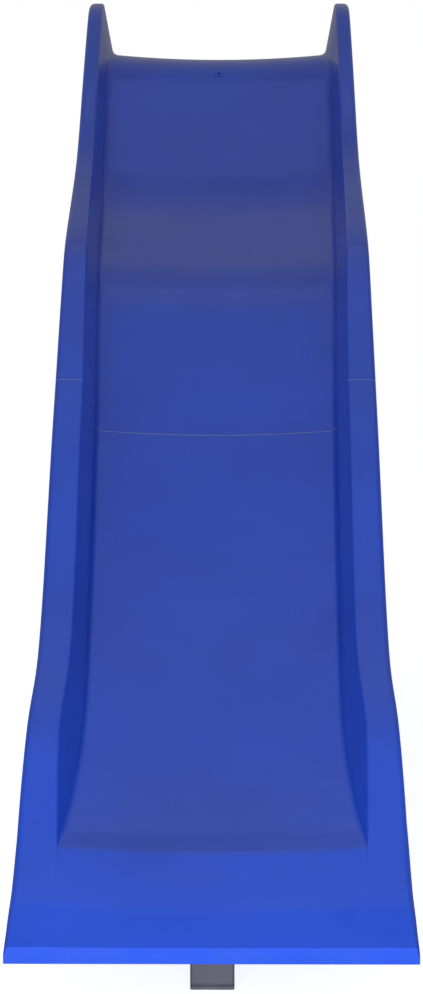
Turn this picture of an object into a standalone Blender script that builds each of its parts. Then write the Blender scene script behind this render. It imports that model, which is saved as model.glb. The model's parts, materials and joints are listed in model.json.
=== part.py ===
"""Free-standing pool slide: a two-section moulded flume on a steel frame, with a ladder and a water feed.

Metres, +Z up. The slide faces -Y. A station h is the distance behind the flume's front lip.
"""

from math import cos, pi, radians, sin, tan

import bmesh
import bpy
from mathutils import Matrix, Vector

# ---- Overall layout -------------------------------------------------------------------------------
TOTAL_LENGTH = 2.600
LIP_Y = -TOTAL_LENGTH / 2
GAP = 0.0003
TOP_END = 2.170
SEAM = 0.904
SEAM_TILT = radians(34.5)
SEAM_GAP = 0.0026
SEAL_INSET = 0.0012

# ---- Flume outlines along the slide: (h, value) ---------------------------------------------------
RAIL_TOP = [(-0.10, 0.015), (0.0, 0.107), (0.05, 0.152), (0.131, 0.208), (0.27, 0.325), (0.33, 0.359),
            (0.43, 0.405), (0.535, 0.466), (0.60, 0.515), (0.69, 0.589), (0.793, 0.672), (0.904, 0.749),
            (1.0, 0.819), (1.17, 0.938), (1.25, 0.966), (1.50, 1.040), (1.60, 1.077), (1.70, 1.130),
            (1.82, 1.205), (1.926, 1.266), (2.06, 1.338), (2.115, 1.350), (2.30, 1.352)]
BED_LINE = [(0.131, 0.199), (0.18, 0.212), (0.24, 0.233), (0.33, 0.271), (0.44, 0.328), (0.60, 0.413),
            (0.75, 0.502), (0.97, 0.653), (1.24, 0.846), (1.32, 0.884), (1.42, 0.914), (1.62, 0.976),
            (1.72, 1.022), (1.86, 1.116), (2.0, 1.219), (2.06, 1.242), (2.30, 1.242)]
TILT_DEG = [(0.0, 0.0), (0.131, 0.0), (0.35, 12.0), (0.60, 26.0), (0.84, 34.5), (0.97, 34.5), (1.10, 31.0),
            (1.25, 20.0), (1.50, 17.0), (1.70, 26.0), (1.90, 30.0), (2.05, 14.0), (2.12, 0.0), (2.3, 0.0)]
OUTER_HALF = [(0.0, 0.2665), (0.03, 0.2642), (0.10, 0.2616), (0.20, 0.2600), (0.335, 0.2553), (0.38, 0.2512),
              (0.45, 0.2500), (2.3, 0.2500)]
RAIL_INNER_HALF = [(0.0, 0.2075), (0.13, 0.2066), (0.21, 0.2103), (0.30, 0.2122), (0.37, 0.2061),
                   (0.45, 0.2030), (0.62, 0.2037), (0.90, 0.2061), (1.12, 0.2116), (1.50, 0.2196),
                   (1.73, 0.2224), (2.3, 0.2253)]
BED_HALF = [(0.0, 0.2060), (0.131, 0.2056), (0.153, 0.2035), (0.203, 0.1955), (0.263, 0.1895),
            (0.32, 0.1845), (0.39, 0.1812), (0.64, 0.1850), (0.96, 0.1900), (1.29, 0.1992), (1.75, 0.2081),
            (2.3, 0.2061)]
SKIRT_DEPTH = [(0.0, 0.022), (0.131, 0.062), (0.30, 0.105), (0.60, 0.148), (0.90, 0.162), (2.3, 0.155)]
DISH = [(0.0, 0.0005), (0.02, 0.001), (0.131, 0.008), (0.30, 0.010), (2.3, 0.010)]
APRON_STEP = [(0.0, 0.0004), (0.085, 0.0004), (0.131, 0.001)]
WALL = 0.0055
BULKHEAD = 0.006
DRAFT = 0.004
RIM_FLARE = 0.003
BED_FRACTIONS = (0.0, 0.4, 0.8)
BED_FILLET = 0.014
INNER_FILLET = 0.007
OUTER_FILLET = 0.010
BED_FILLET_POINTS = 3
RAIL_FILLET_POINTS = 3
RIM_HEIGHT = 0.017

# ---- Stations of the sections, the same as h in the outlines --------------------------------------
FRONT_WALL = 0.0065
LOWER_STATIONS = [0.0, 0.012, 0.03, 0.06, 0.09, 0.118, 0.131, 0.15, 0.19, 0.24, 0.29, 0.33, 0.36, 0.40, 0.47,
                  0.56, 0.65, 0.74, 0.83, 0.875]
UPPER_STATIONS = [0.935, 0.98, 1.06, 1.13, 1.20, 1.28, 1.36, 1.44, 1.52, 1.60, 1.68, 1.76, 1.84, 1.91, 1.96,
                  2.01, 2.05, 2.08, 2.115, TOP_END]

# ---- Fasteners ------------------------------------------------------------------------------------
BOLT_R = 0.004
HOLE_R = 0.0045
FLANGE_R = 0.0095
FLANGE_T = 0.0016
HEX_R = 0.0075
HEX_T = 0.0055
NUT_HEIGHT = 0.0065
THROUGH = 0.040
BOSS_R = 0.013
BOSS_SINK = 0.0028
THREAD_COVER = 0.003
INSERT_R = 0.010
INSERT_LENGTH = 0.020
SHANK_SIDES = 8
SADDLE_DEPTH = 0.022
SADDLE_BOLT_X = 0.075
MID_DEPTH = 0.019
HEAD_BOLTS = [(x, 1.213) for x in (-0.155, -0.055, 0.055, 0.155)]
SEAM_BOLT_RAIL_X = 0.228
SEAM_BOLT_RAIL_DROP = 0.055
SEAM_BOLT_BED_X = 0.100
SEAM_BOLT_BED_DROP = 0.026
SEAM_BOLT = 0.026
LEG_BOLT = 0.078
SADDLE_BOLT = 0.016
TIE_BOLT = 0.050
MID_BOLT = 0.055
TREAD_BOLT = 0.040
STRINGER_BOLT = 0.016
HEAD_BOLT = 0.019

# ---- Steel frame ----------------------------------------------------------------------------------
POST_H = 0.187
POST = 0.060
POST_TOP = 0.168
POST_FOOT = 0.006
POST_BOLT_Z = 0.148
SOCKET = 0.067
SOCKET_LOW = 0.128
SOCKET_HEIGHT = 0.140
SADDLE = (0.200, 0.070)
CAP_PLUG = 0.024
CAP_WALL = 0.003
LEG = 0.040
LEG_X = 0.200
MID_H = 1.42
MID_BOLT_X = 0.152
MID_SHIFT = 0.024
MID_HEAD = (0.092, 0.060)
MID_HEAD_X = 0.176
BEAM_LENGTH = 0.450
PLUG_T = 0.003
PLUG_BODY = 0.016
TUBE_WALL = 0.002
PLATE = 0.005
BASE = 0.110
BASE_T = 0.006
ANCHOR_SPACING = 0.080
ANCHOR_R = 0.0055
STRINGER_X = 0.215
STRINGER_W = 0.030
STRINGER_D = 0.050
STRINGER_FOOT_H = TOTAL_LENGTH - BASE / 2
STRINGER_HEAD = (2.208, 1.200)
TREAD_RISE = 0.248
TREAD_COUNT = 4
TREAD_DEPTH = 0.085
TREAD_HEIGHT = 0.028
TIE_Z = 0.300
TIE_HEIGHT = 0.030
CHANNEL_WALL = 0.003
WELD_NUT = 0.010
WELD_NUT_Z = 0.0105
HEAD_PLATE = (0.504, 0.166)
HEAD_PLATE_Z = 1.149
HEAD_PLATE_H = TOP_END + GAP + PLATE / 2
FLANGE = (0.072, 0.152)
FLANGE_Z = 1.147
FLANGE_H = TOP_END + 2 * GAP + 1.5 * PLATE
WEB = (0.020, 0.045, 0.120)
WEB_Z = 1.135
STRINGER_TOP = 1.220
STRINGER_BORE = 1.10
STRINGER_BOLT_Z = 1.120
STRINGER_BOLT_SPREAD = {"outer": 0.0255, "inner": -0.0255}

# ---- Water feed -----------------------------------------------------------------------------------
NOZZLE_H = 2.0
NOZZLE_R = 0.0062
NOZZLE_HOLE_R = 0.0066
NOZZLE_BORE_R = 0.0035
LOCK_R = 0.0125
LOCK_HEIGHT = 0.008
LOCK_WASHER = 0.0025
FEED_DROP = 0.100
ELBOW_R = 0.0115
PORT_R = 0.004
PIPE_R = 0.0080
PIPE_BORE_R = 0.006
PIPE_START = 0.0158
PIPE_END = 0.105
VALVE_X = 0.130
VALVE_R = 0.014
VALVE_HEX_R = 0.0135
VALVE_HEX = 0.014
VALVE_HEX_X = 0.023
STEM_R = 0.0035
STEM_REACH = 0.0245
LEVER_LENGTH = 0.085
LEVER_T = 0.003
LEVER_W = 0.016
TAIL_X = 0.0205
TAIL_BORE_R = 0.005

BLUE = (0.035, 0.085, 0.46)
STEEL_GREY = (0.085, 0.092, 0.105)
ZINC = (0.60, 0.61, 0.62)
BLACK = (0.02, 0.02, 0.022)
PALE_RUBBER = (0.55, 0.58, 0.62)
BRASS = (0.62, 0.45, 0.18)
RED = (0.55, 0.03, 0.02)
GREY_PLASTIC = (0.10, 0.105, 0.115)


# ---- Scene and materials --------------------------------------------------------------------------
def new_collection(name):
    collection = bpy.data.collections.new(name)
    bpy.context.scene.collection.children.link(collection)
    return collection


def principled(name, color, metallic, roughness):
    material = bpy.data.materials.new(name)
    material.use_nodes = True
    shader = material.node_tree.nodes["Principled BSDF"]
    shader.inputs["Base Color"].default_value = (*color, 1.0)
    shader.inputs["Metallic"].default_value = metallic
    shader.inputs["Roughness"].default_value = roughness
    material.diffuse_color = (*color, 1.0)
    return material


def place(obj, collection):
    for old in list(obj.users_collection):
        old.objects.unlink(obj)
    collection.objects.link(obj)
    return obj


def smooth_shade(mesh):
    mesh.shade_smooth()
    mesh.set_sharp_from_angle(angle=radians(32))


def finish(obj, name, look):
    """Names obj as a sub-part and gives it its own material."""
    color, metallic, roughness = look
    obj.name = name
    obj.data.name = name
    obj.data.materials.clear()
    obj.data.materials.append(principled(name, color, metallic, roughness))
    smooth_shade(obj.data)
    return place(obj, PARTS)


def combine(obj, tool, operation):
    """Adds tool to obj, or cuts it away, as a live Boolean."""
    place(tool, CUTTERS)
    tool.hide_render = True
    tool.display_type = "WIRE"
    modifier = obj.modifiers.new(tool.name, "BOOLEAN")
    modifier.operation = operation
    modifier.solver = "EXACT"
    modifier.object = tool
    return obj


def cut(obj, *tools):
    for tool in tools:
        combine(obj, tool, "DIFFERENCE")
    return obj


def join(obj, *tools):
    for tool in tools:
        combine(obj, tool, "UNION")
    return obj


def baked(obj):
    """The mesh of obj in world space with its modifiers applied; obj and its tools are removed."""
    bpy.context.view_layer.update()
    graph = bpy.context.evaluated_depsgraph_get()
    mesh = bpy.data.meshes.new_from_object(obj.evaluated_get(graph))
    mesh.transform(obj.matrix_world)
    for modifier in obj.modifiers:
        if modifier.type == "BOOLEAN":
            bpy.data.objects.remove(modifier.object)
    bpy.data.objects.remove(obj)
    return mesh


# ---- Basic solids ---------------------------------------------------------------------------------
def from_bmesh(bm, name, location=(0, 0, 0), rotation=None):
    mesh = bpy.data.meshes.new(name)
    bmesh.ops.recalc_face_normals(bm, faces=bm.faces)
    bm.to_mesh(mesh)
    bm.free()
    obj = bpy.data.objects.new(name, mesh)
    obj.location = location
    if rotation is not None:
        obj.rotation_euler = rotation.to_euler()
    PARTS.objects.link(obj)
    return obj


def box(size, location, rotation=None, name="box", bevel=0.0):
    bm = bmesh.new()
    bmesh.ops.create_cube(bm, size=1.0)
    bmesh.ops.scale(bm, vec=size, verts=bm.verts)
    obj = from_bmesh(bm, name, location, rotation)
    if bevel:
        modifier = obj.modifiers.new("edges", "BEVEL")
        modifier.width = bevel
        modifier.segments = 1
    return obj


def rod(radius, length, location, axis=(0, 0, 1), name="rod", segments=16):
    """A cylinder centred on location, along axis."""
    bm = bmesh.new()
    bmesh.ops.create_cone(bm, cap_ends=True, segments=segments, radius1=radius, radius2=radius, depth=length)
    turn = Vector((0, 0, 1)).rotation_difference(Vector(axis)).to_matrix()
    return from_bmesh(bm, name, location, turn)


def at(x, h, z):
    return Vector((x, LIP_Y + h, z))


def turned(profile, location, axis, name, steps=12):
    """A solid of revolution: profile is (radius, height) from the top of the axis down the outer side."""
    mesh = bpy.data.meshes.new(name)
    points = [(radius, 0.0, height) for radius, height in profile]
    mesh.from_pydata(points, [(i, i + 1) for i in range(len(points) - 1)], [])
    obj = bpy.data.objects.new(name, mesh)
    obj.location = location
    obj.rotation_euler = Vector((0, 0, 1)).rotation_difference(Vector(axis)).to_euler()
    PARTS.objects.link(obj)
    screw = obj.modifiers.new("turn", "SCREW")
    screw.steps = steps
    screw.render_steps = steps
    screw.use_merge_vertices = True
    screw.merge_threshold = 0.0001
    return obj


def square_tube(width, depth, length, location, rotation=None, wall=TUBE_WALL):
    """A box-section tube along its own Z, open at both ends."""
    tube = box((width, depth, length), location, rotation, "tube", bevel=0.003)
    inner = box((width - 2 * wall, depth - 2 * wall, length + 0.02), location, rotation, "tube_bore")
    return cut(tube, inner)


# ---- Fasteners ------------------------------------------------------------------------------------
BOLT_MESHES = {}


def bolt(name, location, axis, length):
    """A flanged hex bolt: location is under its head, and axis points from the head to its tip."""
    if length not in BOLT_MESHES:
        profile = [(0, FLANGE_T), (FLANGE_R, FLANGE_T), (FLANGE_R, 0), (BOLT_R, 0), (BOLT_R, -length),
                   (0, -length)]
        body = turned(profile, (0, 0, 0), (0, 0, 1), "bolt", steps=SHANK_SIDES)
        head = rod(HEX_R, HEX_T, (0, 0, FLANGE_T / 2 + HEX_T / 2), segments=6)
        BOLT_MESHES[length] = baked(join(body, head))
    obj = bpy.data.objects.new(name, BOLT_MESHES[length].copy())
    obj.location = location
    obj.rotation_euler = Vector((0, 0, -1)).rotation_difference(Vector(axis)).to_euler()
    return finish(obj, name, (ZINC, 1.0, 0.35))


def nut(name, location, axis):
    """A hex nut whose near face is at location and that runs on along axis."""
    axis = Vector(axis)
    body = rod(HEX_R, NUT_HEIGHT, Vector(location) + axis * NUT_HEIGHT / 2, axis, segments=6)
    bore = rod(HOLE_R, 0.02, location, axis, segments=SHANK_SIDES)
    return finish(cut(body, bore), name, (ZINC, 1.0, 0.35))


def hole(location, axis, length, radius=HOLE_R):
    """A cutter centred on location."""
    return rod(radius, length, location, axis, "hole", segments=SHANK_SIDES)


# ---- Flume outline --------------------------------------------------------------------------------
def value(table, h):
    for (h0, v0), (h1, v1) in zip(table, table[1:]):
        if h <= h1:
            break
    share = min(max((h - h0) / (h1 - h0), 0.0), 1.0)
    return v0 + (v1 - v0) * share


def eased(table, h, reach=0.05):
    """The outline at h, averaged over a short stretch so that its corners turn into bends."""
    total = 0.0
    weights = 0.0
    for step in range(-5, 6):
        weight = 6 - abs(step)
        total += weight * value(table, h + reach * step / 5)
        weights += weight
    return total / weights


def reach_at(h):
    """Bends are tight on the apron and broad along the run."""
    return min(max(0.35 * (h - 0.10), 0.008), 0.055)


def rail_z(h):
    return eased(RAIL_TOP, h, min(max(0.4 * h, 0.0001), 0.055))


def bed_z(h):
    if h <= 0.131:
        return rail_z(h) - value(APRON_STEP, h) - value(DISH, h)
    return eased(BED_LINE, h, min(0.055, 0.6 * (h - 0.131), max(0.6 * (TOP_END - h), 0.02)))


def bed_slope(h):
    return (bed_z(h + 0.004) - bed_z(h - 0.004)) / 0.008


def bed_frame(h, x, depth):
    """A point under the bed by depth along its normal, with that normal."""
    slope = bed_slope(h)
    normal = Vector((0, -slope, 1)).normalized()
    dish = value(DISH, h) * (x / value(BED_HALF, h)) ** 2
    return at(x, h, bed_z(h) + dish) - normal * depth, normal


def slope_turn(h):
    """The rotation that lays a level piece parallel to the bed."""
    return Vector((0, 0, 1)).rotation_difference(bed_frame(h, 0, 0)[1]).to_matrix()


def rail_height(h, up):
    """How far the bed's centre lies below the rail top, along the section's own up direction."""
    low, high = 0.0, 0.25
    for _ in range(40):
        middle = (low + high) / 2
        if rail_z(h) - middle * up[1] > bed_z(h - middle * up[0]):
            low = middle
        else:
            high = middle
    return (low + high) / 2


def fillet(before, corner, after, radius, count):
    """Points on the arc that rounds a corner of the section."""
    before, corner, after = Vector(before), Vector(corner), Vector(after)
    back = before - corner
    ahead = after - corner
    half = back.angle(ahead) / 2
    trim = min(radius / tan(half), 0.45 * back.length, 0.45 * ahead.length)
    start = corner + back.normalized() * trim
    end = corner + ahead.normalized() * trim
    points = []
    for step in range(count):
        t = step / (count - 1)
        points.append(start * (1 - t) ** 2 + corner * 2 * t * (1 - t) + end * t * t)
    return points


def inset(points, distance):
    """The same outline moved inwards by distance, corners mitred."""
    moved = []
    for i, point in enumerate(points):
        before = points[i - 1] if i else Vector((-points[1].x, points[1].y))
        after = points[i + 1] if i + 1 < len(points) else point + (point - before)
        run = ((point - before).normalized() + (after - point).normalized()).normalized()
        lean = max(run.dot((after - point).normalized()), 0.5)
        moved.append(point + Vector((run.y, -run.x)) * distance / lean)
    moved[0].x = 0.0
    return moved


def half_section(h, height, wall=0.0):
    """The outline from the bed's centre to the rim, moved in by wall: (x, height above the bed)."""
    bed = eased(BED_HALF, h, reach_at(h))
    inner = eased(RAIL_INNER_HALF, h, reach_at(h))
    outer = eased(OUTER_HALF, h, reach_at(h))
    depth = eased(SKIRT_DEPTH, h, reach_at(h))
    dish = value(DISH, h)
    foot = height - depth
    skirt = outer + DRAFT * min(1.0, depth / 0.15)
    rim = min(RIM_HEIGHT, 0.6 * depth)
    spine = [(bed * f, dish * f * f) for f in BED_FRACTIONS]
    spine += [(bed, dish), (inner, height), (outer, height), (skirt, foot + rim),
              (skirt + RIM_FLARE, foot + rim - 0.003), (skirt + RIM_FLARE, foot)]
    spine = [Vector(p) for p in spine]
    if wall:
        spine = inset(spine, wall)
    bend = len(BED_FRACTIONS)
    points = spine[:bend]
    points += fillet(*spine[bend - 1:bend + 2], BED_FILLET + wall, BED_FILLET_POINTS)
    points += fillet(*spine[bend:bend + 3], max(INNER_FILLET - wall, 0.001), RAIL_FILLET_POINTS)
    points += fillet(*spine[bend + 1:bend + 4], max(OUTER_FILLET - wall, 0.001), RAIL_FILLET_POINTS)
    return points + spine[bend + 3:]


def section_line(h, cavity):
    """The moulding's outline at station h from the left rim to the right one, outside or inside."""
    tilt = radians(eased(TILT_DEG, h, 0.03))
    up = (-sin(tilt), cos(tilt))
    height = rail_height(h, up)
    half = half_section(h, height, WALL if cavity else 0.0)
    outline = [Vector((-p.x, p.y)) for p in reversed(half[1:])] + half
    top_z = rail_z(h)
    return [at(p.x, h - (height - p.y) * up[0], top_z - (height - p.y) * up[1]) for p in outline]


def shell(stations, inner_stations, name):
    """The moulding: an outer and an inner skin joined along both rims, with a flat bulkhead at each end."""
    bm = bmesh.new()
    outer = [[bm.verts.new(p) for p in section_line(h, False)] for h in stations]
    inner = [[bm.verts.new(p) for p in section_line(h, True)] for h in inner_stations]
    last = len(outer[0]) - 1
    for k in range(len(outer) - 1):
        for i in range(last):
            bm.faces.new((outer[k][i], outer[k][i + 1], outer[k + 1][i + 1], outer[k + 1][i]))
            bm.faces.new((inner[k][i + 1], inner[k][i], inner[k + 1][i], inner[k + 1][i + 1]))
        for i in (0, last):
            bm.faces.new((outer[k][i], outer[k + 1][i], inner[k + 1][i], inner[k][i]))
    for k in (0, -1):
        bm.faces.new(outer[k])
        bm.faces.new(inner[k])
        bm.faces.new((outer[k][0], outer[k][last], inner[k][last], inner[k][0]))
    bmesh.ops.triangulate(bm, faces=[f for f in bm.faces if len(f.verts) == 4])
    return from_bmesh(bm, name)


def support_frame(h, x, depth):
    """A point on the flat plane that lies under the bed's centre line by depth, with the plane's normal."""
    centre, normal = bed_frame(h, 0, depth)
    return centre + Vector((x, 0, 0)), normal


def boss(h, x, depth):
    """A moulded boss under the bed, ending at depth, with its blind threaded hole."""
    top, _ = bed_frame(h, x, BOSS_SINK)
    bottom, normal = support_frame(h, x, depth)
    body = rod(BOSS_R, (top - bottom).length, (top + bottom) / 2, normal, "boss")
    thread = hole(bottom, normal, 2 * (depth - WALL - THREAD_COVER))
    return body, thread


# ---- Flume sections -------------------------------------------------------------------------------
SEAM_UP = Vector((0, -sin(SEAM_TILT), cos(SEAM_TILT)))
SEAM_ALONG = Vector((0, cos(SEAM_TILT), sin(SEAM_TILT)))
SEAM_STEP = SEAM_GAP / 2 * cos(SEAM_TILT)


def seam_bolt_points():
    """Two bolts under the bed and one up in each rail, on the seam plane."""
    top = at(0, SEAM, rail_z(SEAM))
    height = rail_height(SEAM, (SEAM_UP.y, SEAM_UP.z))
    under_bed = top - SEAM_UP * (height + SEAM_BOLT_BED_DROP)
    in_rail = top - SEAM_UP * SEAM_BOLT_RAIL_DROP
    return [p + Vector((x, 0, 0)) for p, x in
            ((in_rail, -SEAM_BOLT_RAIL_X), (under_bed, -SEAM_BOLT_BED_X),
             (under_bed, SEAM_BOLT_BED_X), (in_rail, SEAM_BOLT_RAIL_X))]


def lower_flume():
    end = SEAM - SEAM_STEP
    stations = LOWER_STATIONS + [end]
    inside = [FRONT_WALL] + LOWER_STATIONS[1:] + [end - BULKHEAD * cos(SEAM_TILT)]
    body = shell(stations, inside, "flume_lower")
    for x in (-SADDLE_BOLT_X, SADDLE_BOLT_X):
        stud, thread = boss(POST_H, x, SADDLE_DEPTH)
        cut(join(body, stud), thread)
    for point in seam_bolt_points():
        cut(body, hole(point, SEAM_ALONG, THROUGH))
    return finish(body, "flume_lower", (BLUE, 0.0, 0.22))


def upper_flume():
    start = SEAM + SEAM_STEP
    stations = [start] + UPPER_STATIONS
    inside = [start + BULKHEAD * cos(SEAM_TILT)] + UPPER_STATIONS[:-1] + [TOP_END - BULKHEAD]
    body = shell(stations, inside, "flume_upper")
    for x in (-MID_BOLT_X, MID_BOLT_X):
        stud, thread = boss(MID_H, x, MID_DEPTH)
        cut(join(body, stud), thread)
    for x, z in HEAD_BOLTS:
        middle = at(x, TOP_END - INSERT_LENGTH / 2 - 0.001, z)
        insert = rod(INSERT_R, INSERT_LENGTH, middle, (0, 1, 0), "insert")
        cut(join(body, insert), hole(at(x, TOP_END, z), (0, 1, 0), 1.5 * INSERT_LENGTH))
    for point in seam_bolt_points():
        cut(body, hole(point, SEAM_ALONG, THROUGH))
    spot, normal = bed_frame(NOZZLE_H, 0, 0)
    cut(body, rod(NOZZLE_HOLE_R, THROUGH, spot, normal, "nozzle_hole"))
    return finish(body, "flume_upper", (BLUE, 0.0, 0.22))


def seam_seal():
    """A thin gasket between the two bulkheads, just below the outside of the moulding."""
    thickness = SEAM_GAP - 2 * GAP
    bm = bmesh.new()
    height = rail_height(SEAM, (SEAM_UP.y, SEAM_UP.z))
    half = half_section(SEAM, height, SEAL_INSET)
    ring = [Vector((-p.x, p.y)) for p in reversed(half[1:])] + half
    corner = at(0, SEAM, rail_z(SEAM)) - SEAM_ALONG * thickness / 2
    verts = [bm.verts.new(corner - SEAM_UP * (height - p.y) + Vector((p.x, 0, 0))) for p in ring]
    extruded = bmesh.ops.extrude_face_region(bm, geom=[bm.faces.new(verts)])
    moved = [v for v in extruded["geom"] if isinstance(v, bmesh.types.BMVert)]
    bmesh.ops.translate(bm, vec=SEAM_ALONG * thickness, verts=moved)
    body = from_bmesh(bm, "seam_seal")
    for point in seam_bolt_points():
        cut(body, hole(point, SEAM_ALONG, THROUGH))
    return finish(body, "seam_seal", (PALE_RUBBER, 0.0, 0.7))


def seam_fasteners():
    reach = SEAM_GAP / 2 + BULKHEAD + GAP
    for number, point in enumerate(seam_bolt_points(), 1):
        bolt(f"seam_bolt_{number}", point + SEAM_ALONG * reach, -SEAM_ALONG, SEAM_BOLT)
        nut(f"seam_nut_{number}", point - SEAM_ALONG * reach, -SEAM_ALONG)


# ---- Front leg ------------------------------------------------------------------------------------
def front_saddle():
    """A tilted plate bolted under the run-out, with a square socket for the leg."""
    turn = slope_turn(POST_H)
    under, normal = bed_frame(POST_H, 0, SADDLE_DEPTH + GAP + PLATE / 2)
    plate = box((*SADDLE, PLATE), under, turn, "saddle_plate", bevel=0.001)
    middle = at(0, POST_H, SOCKET_LOW + SOCKET_HEIGHT / 2)
    socket = box((SOCKET, SOCKET, SOCKET_HEIGHT), middle, None, "saddle_socket")
    above = box((0.3, 0.3, 0.2), under + normal * 0.1, turn, "saddle_trim")
    inside = POST + 2 * GAP
    bore = box((inside, inside, 0.2), at(0, POST_H, POST_TOP + 0.002 - 0.1), None, "saddle_bore")
    join(plate, cut(socket, above))
    cut(plate, bore, hole(at(0, POST_H, POST_BOLT_Z), (1, 0, 0), 2 * SOCKET))
    for x in (-SADDLE_BOLT_X, SADDLE_BOLT_X):
        cut(plate, hole(support_frame(POST_H, x, SADDLE_DEPTH)[0], normal, THROUGH))
    return finish(plate, "front_saddle", (STEEL_GREY, 0.4, 0.45))


def front_leg():
    length = POST_TOP - POST_FOOT - GAP
    leg = square_tube(POST, POST, length, at(0, POST_H, POST_FOOT + GAP + length / 2))
    cut(leg, hole(at(0, POST_H, POST_BOLT_Z), (1, 0, 0), 2 * SOCKET))
    finish(leg, "front_leg", (STEEL_GREY, 0.4, 0.45))
    cap = box((POST, POST, POST_FOOT), at(0, POST_H, POST_FOOT / 2), None, "cap", bevel=0.0015)
    inner = POST - 2 * TUBE_WALL - 2 * GAP
    hollow = inner - 2 * CAP_WALL
    plug_z = CAP_WALL + CAP_PLUG / 2
    join(cap, box((inner, inner, CAP_PLUG), at(0, POST_H, plug_z), None, "cap_plug"))
    cut(cap, box((hollow, hollow, CAP_PLUG), at(0, POST_H, plug_z + 0.004), None, "cap_hollow"))
    finish(cap, "front_leg_cap", (GREY_PLASTIC, 0.0, 0.6))
    bolt("front_leg_bolt", at(-SOCKET / 2 - GAP, POST_H, POST_BOLT_Z), (1, 0, 0), LEG_BOLT)
    nut("front_leg_nut", at(SOCKET / 2 + GAP, POST_H, POST_BOLT_Z), (1, 0, 0))
    for side, x in (("left", -SADDLE_BOLT_X), ("right", SADDLE_BOLT_X)):
        spot, normal = support_frame(POST_H, x, SADDLE_DEPTH + PLATE + 2 * GAP)
        bolt(f"saddle_bolt_{side}", spot, normal, SADDLE_BOLT)


# ---- Middle frame ---------------------------------------------------------------------------------
def base_plate(x, h):
    plate = box((BASE, BASE, BASE_T), at(x, h, BASE_T / 2), None, "base", bevel=0.0015)
    for dx in (-0.5, 0.5):
        for dy in (-0.5, 0.5):
            spot = at(x + dx * ANCHOR_SPACING, h + dy * ANCHOR_SPACING, 0)
            cut(plate, hole(spot, (0, 0, 1), 0.03, ANCHOR_R))
    return plate


def mid_frame():
    turn = slope_turn(MID_H)
    centre, normal = bed_frame(MID_H, 0, MID_DEPTH + GAP + LEG / 2)
    along_x = turn @ Matrix.Rotation(pi / 2, 3, "Y")
    beam = square_tube(LEG, LEG, BEAM_LENGTH, centre, along_x)
    for x in (-MID_BOLT_X, MID_BOLT_X):
        cut(beam, hole(centre + Vector((x, 0, 0)), normal, 0.08))
    finish(beam, "mid_beam", (STEEL_GREY, 0.4, 0.45))
    for side, sign in (("left", -1), ("right", 1)):
        beam_end = centre + Vector((sign * BEAM_LENGTH / 2, 0, 0))
        outwards = Vector((sign, 0, 0))
        plug = box((PLUG_T, LEG, LEG), beam_end + outwards * (GAP + PLUG_T / 2), turn, "plug", bevel=0.001)
        inner = LEG - 2 * TUBE_WALL - 2 * GAP
        join(plug, box((PLUG_BODY, inner, inner), beam_end - outwards * 0.006, turn, "plug_body"))
        finish(plug, f"mid_beam_plug_{side}", (BLACK, 0.0, 0.6))
        mid_leg(side, sign, turn)
    tie = channel(2 * (LEG_X - LEG / 2 - GAP), LEG - 0.008, TIE_HEIGHT)
    tie.location = at(0, MID_H + MID_SHIFT, TIE_Z)
    finish(tie, "leg_tie", (STEEL_GREY, 0.4, 0.45))
    for side, sign in (("left", -1), ("right", 1)):
        spot = at(sign * (LEG_X + LEG / 2 + GAP), MID_H + MID_SHIFT, TIE_Z - TIE_HEIGHT / 2 + WELD_NUT_Z)
        bolt(f"tie_bolt_{side}", spot, (-sign, 0, 0), TIE_BOLT)


def mid_leg(side, sign, turn):
    """An upright with its tilted head plate and its base plate welded on."""
    plate_depth = MID_DEPTH + 2 * GAP + LEG
    head, normal = bed_frame(MID_H, 0, plate_depth + PLATE / 2)
    head = head + Vector((sign * MID_HEAD_X, 0, 0))
    plate = box((*MID_HEAD, PLATE), head, turn, "head", bevel=0.001)
    top = head.z + 0.03
    foot = at(sign * LEG_X, MID_H + MID_SHIFT, 0.0)
    tube = box((LEG, LEG, top), foot + Vector((0, 0, top / 2 + 0.003)), None, "upright", bevel=0.003)
    above = box((0.3, 0.3, 0.2), head + normal * 0.1, turn, "head_trim")
    inner = LEG - 2 * TUBE_WALL
    bore_top = head.z - 0.016
    bore = box((inner, inner, bore_top + 0.05), foot + Vector((0, 0, bore_top / 2 - 0.025)), None, "bore")
    join(plate, cut(tube, above), base_plate(sign * LEG_X, MID_H + MID_SHIFT))
    cut(plate, bore)
    bolt_spot, _ = bed_frame(MID_H, 0, plate_depth)
    bolt_spot = bolt_spot + Vector((sign * MID_BOLT_X, 0, 0))
    tie_spot = foot + Vector((0, 0, TIE_Z - TIE_HEIGHT / 2 + WELD_NUT_Z))
    cut(plate, hole(bolt_spot, normal, THROUGH), hole(tie_spot, (1, 0, 0), 1.5 * LEG))
    finish(plate, f"mid_leg_{side}", (STEEL_GREY, 0.4, 0.45))
    under = bolt_spot - normal * (PLATE + GAP)
    bolt(f"mid_bolt_{side}", under, normal, MID_BOLT)


# ---- Ladder ---------------------------------------------------------------------------------------
def channel(length, depth, height):
    """A folded channel along X, open below, closed at its ends, with a nut welded inside each end."""
    wall = CHANNEL_WALL
    body = box((length, depth, height), (0, 0, 0), None, "channel", bevel=0.0015)
    hollow = box((length - 2 * wall, depth - 2 * wall, height), (0, 0, -wall), None, "channel_hollow")
    cut(body, hollow)
    nut_z = -height / 2 + WELD_NUT_Z
    for end in (-1, 1):
        nut_x = end * (length / 2 - wall - WELD_NUT / 2 + 0.0005)
        join(body, rod(HEX_R, WELD_NUT, (nut_x, 0, nut_z), (1, 0, 0), "weld_nut"))
        cut(body, hole((end * length / 2, 0, nut_z), (1, 0, 0), 3 * WELD_NUT))
    obj = bpy.data.objects.new("channel", baked(body))
    PARTS.objects.link(obj)
    return obj


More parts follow.
